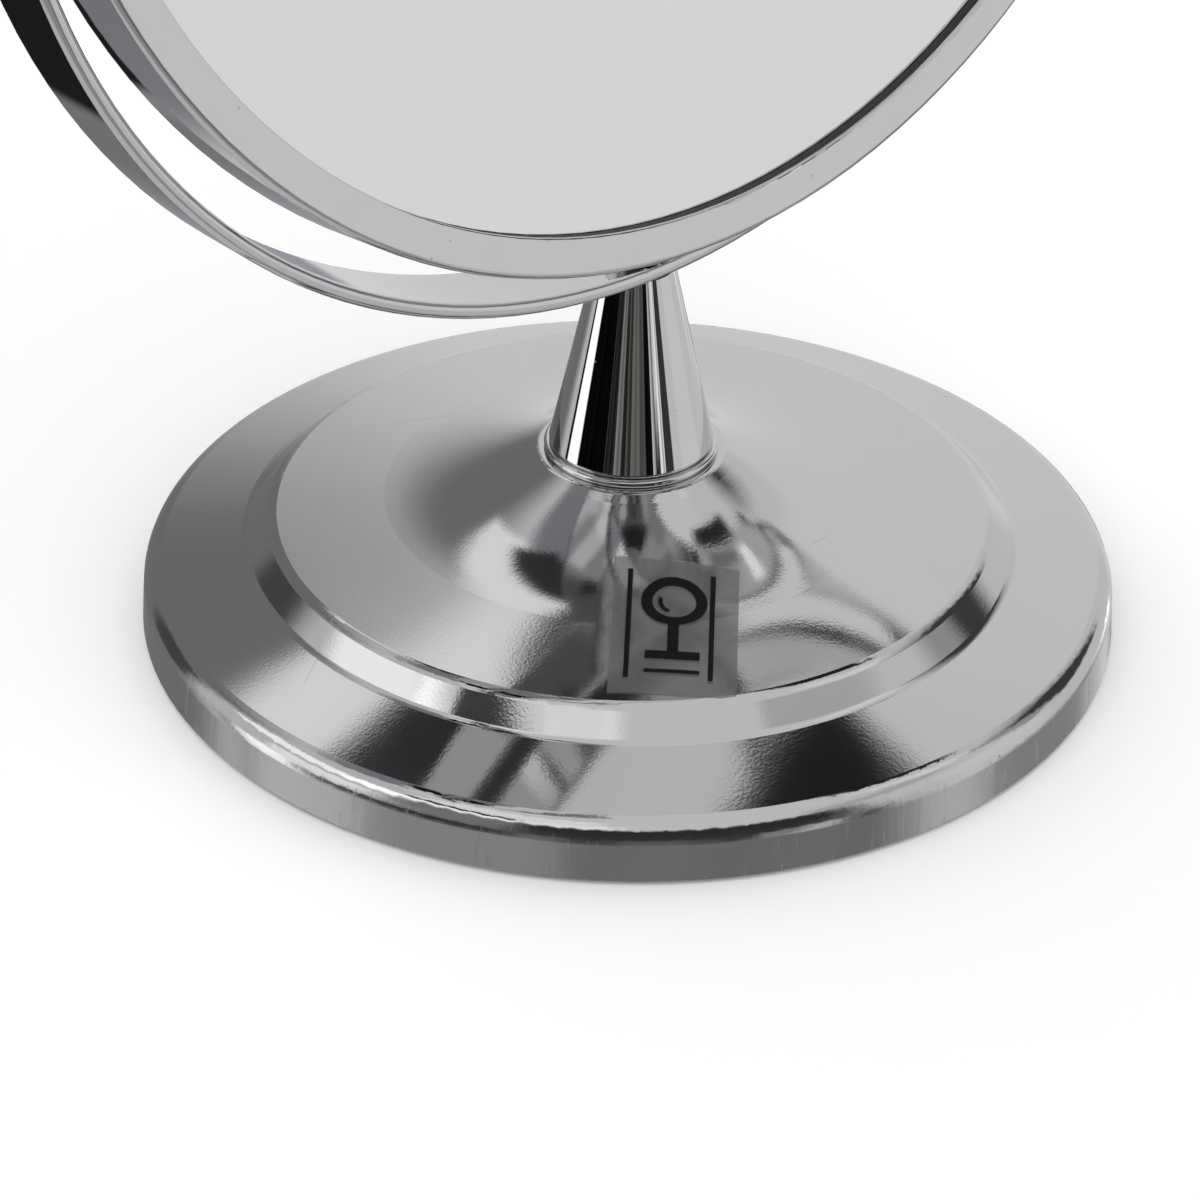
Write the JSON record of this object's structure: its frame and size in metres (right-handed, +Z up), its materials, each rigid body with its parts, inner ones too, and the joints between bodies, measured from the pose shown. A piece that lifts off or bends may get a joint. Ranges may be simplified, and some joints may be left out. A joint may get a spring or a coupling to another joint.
{
  "type": "countertop mirror",
  "caption": "Free-standing cosmetic mirror: double-sided round head that turns in a U-shaped strip yoke on a conical post and a pressed, stepped, weighted round base.",
  "frame": {"origin": "middle of the base's underside, on the surface the mirror stands on", "axes": "+Z up along the post, X along the head's pivot axis, the plain glass faces -Y"},
  "size_m": [0.1888, 0.12, 0.2308],
  "materials": {
    "satin_chrome": "fine satin chrome plating on pressed steel, grain runs round the base",
    "bright_chrome": "polished chrome plating",
    "screw_chrome": "polished nickel-chrome plating",
    "zinc_steel": "bright zinc plating",
    "mirror_glass": "silvered glass",
    "cast_iron": "as cast, painted dark grey",
    "foam_pad": "black EVA foam",
    "clear_film": "clear film with a printed pictogram",
    "seal_rubber": "dark grey rubber",
    "core_plastic": "moulded black plastic",
    "card": "grey-brown card",
    "bush_nylon": "natural nylon",
    "brass_insert": "turned brass"
  },
  "bodies": {
    "stand": {"base_shell": "satin_chrome", "base_weight": "cast_iron", "base_pad": "foam_pad", "tie_flat_washer": "zinc_steel", "tie_spring_washer": "zinc_steel", "tie_nut": "zinc_steel", "yoke_tooth_washer": "zinc_steel", "tie_screw": "screw_chrome", "post_collar": "bright_chrome", "post": "bright_chrome", "yoke": "bright_chrome", "label_film": "clear_film", "pivot_bush_right": "bush_nylon", "pivot_spring_right": "zinc_steel", "pivot_bush_left": "bush_nylon", "pivot_spring_left": "zinc_steel"},
    "head": {"rim_channel": "bright_chrome", "front_seal": "seal_rubber", "rear_seal": "seal_rubber", "front_glass": "mirror_glass", "rear_glass": "mirror_glass", "core_ring": "core_plastic", "backing_card": "card", "pivot_screw_right": "screw_chrome", "pivot_insert_right": "brass_insert", "pivot_screw_left": "screw_chrome", "pivot_insert_left": "brass_insert"}
  },
  "joints": [
    {"name": "head_tilt", "type": "hinge", "parent": "stand", "child": "head", "pos_m": [0, 0, 0.1432], "axis": [1, 0, 0], "continuous": true}
  ]
}
